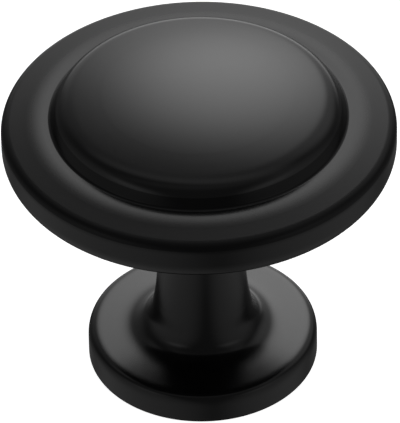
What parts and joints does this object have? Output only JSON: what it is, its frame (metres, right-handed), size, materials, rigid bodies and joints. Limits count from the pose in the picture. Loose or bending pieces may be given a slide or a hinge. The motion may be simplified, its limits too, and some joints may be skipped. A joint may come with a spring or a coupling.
{
  "type": "cabinet knob",
  "caption": "Round mushroom cabinet knob in satin black: a domed centre inside a sloping ring, a waisted neck and a flat foot with a tapped hole for the fixing screw.",
  "frame": {"origin": "centre of the foot's seating face, on the knob's axis", "axes": "+Z along the knob's axis, away from the drawer front, out of the domed face; X and Y lie in the seating face and are interchangeable, because the knob is a body of revolution"},
  "size_m": [0.032, 0.032, 0.0276],
  "materials": {
    "black_lacquer": "satin black lacquer on die-cast zinc alloy"
  },
  "bodies": {
    "root": {"knob": "black_lacquer"}
  },
  "joints": []
}
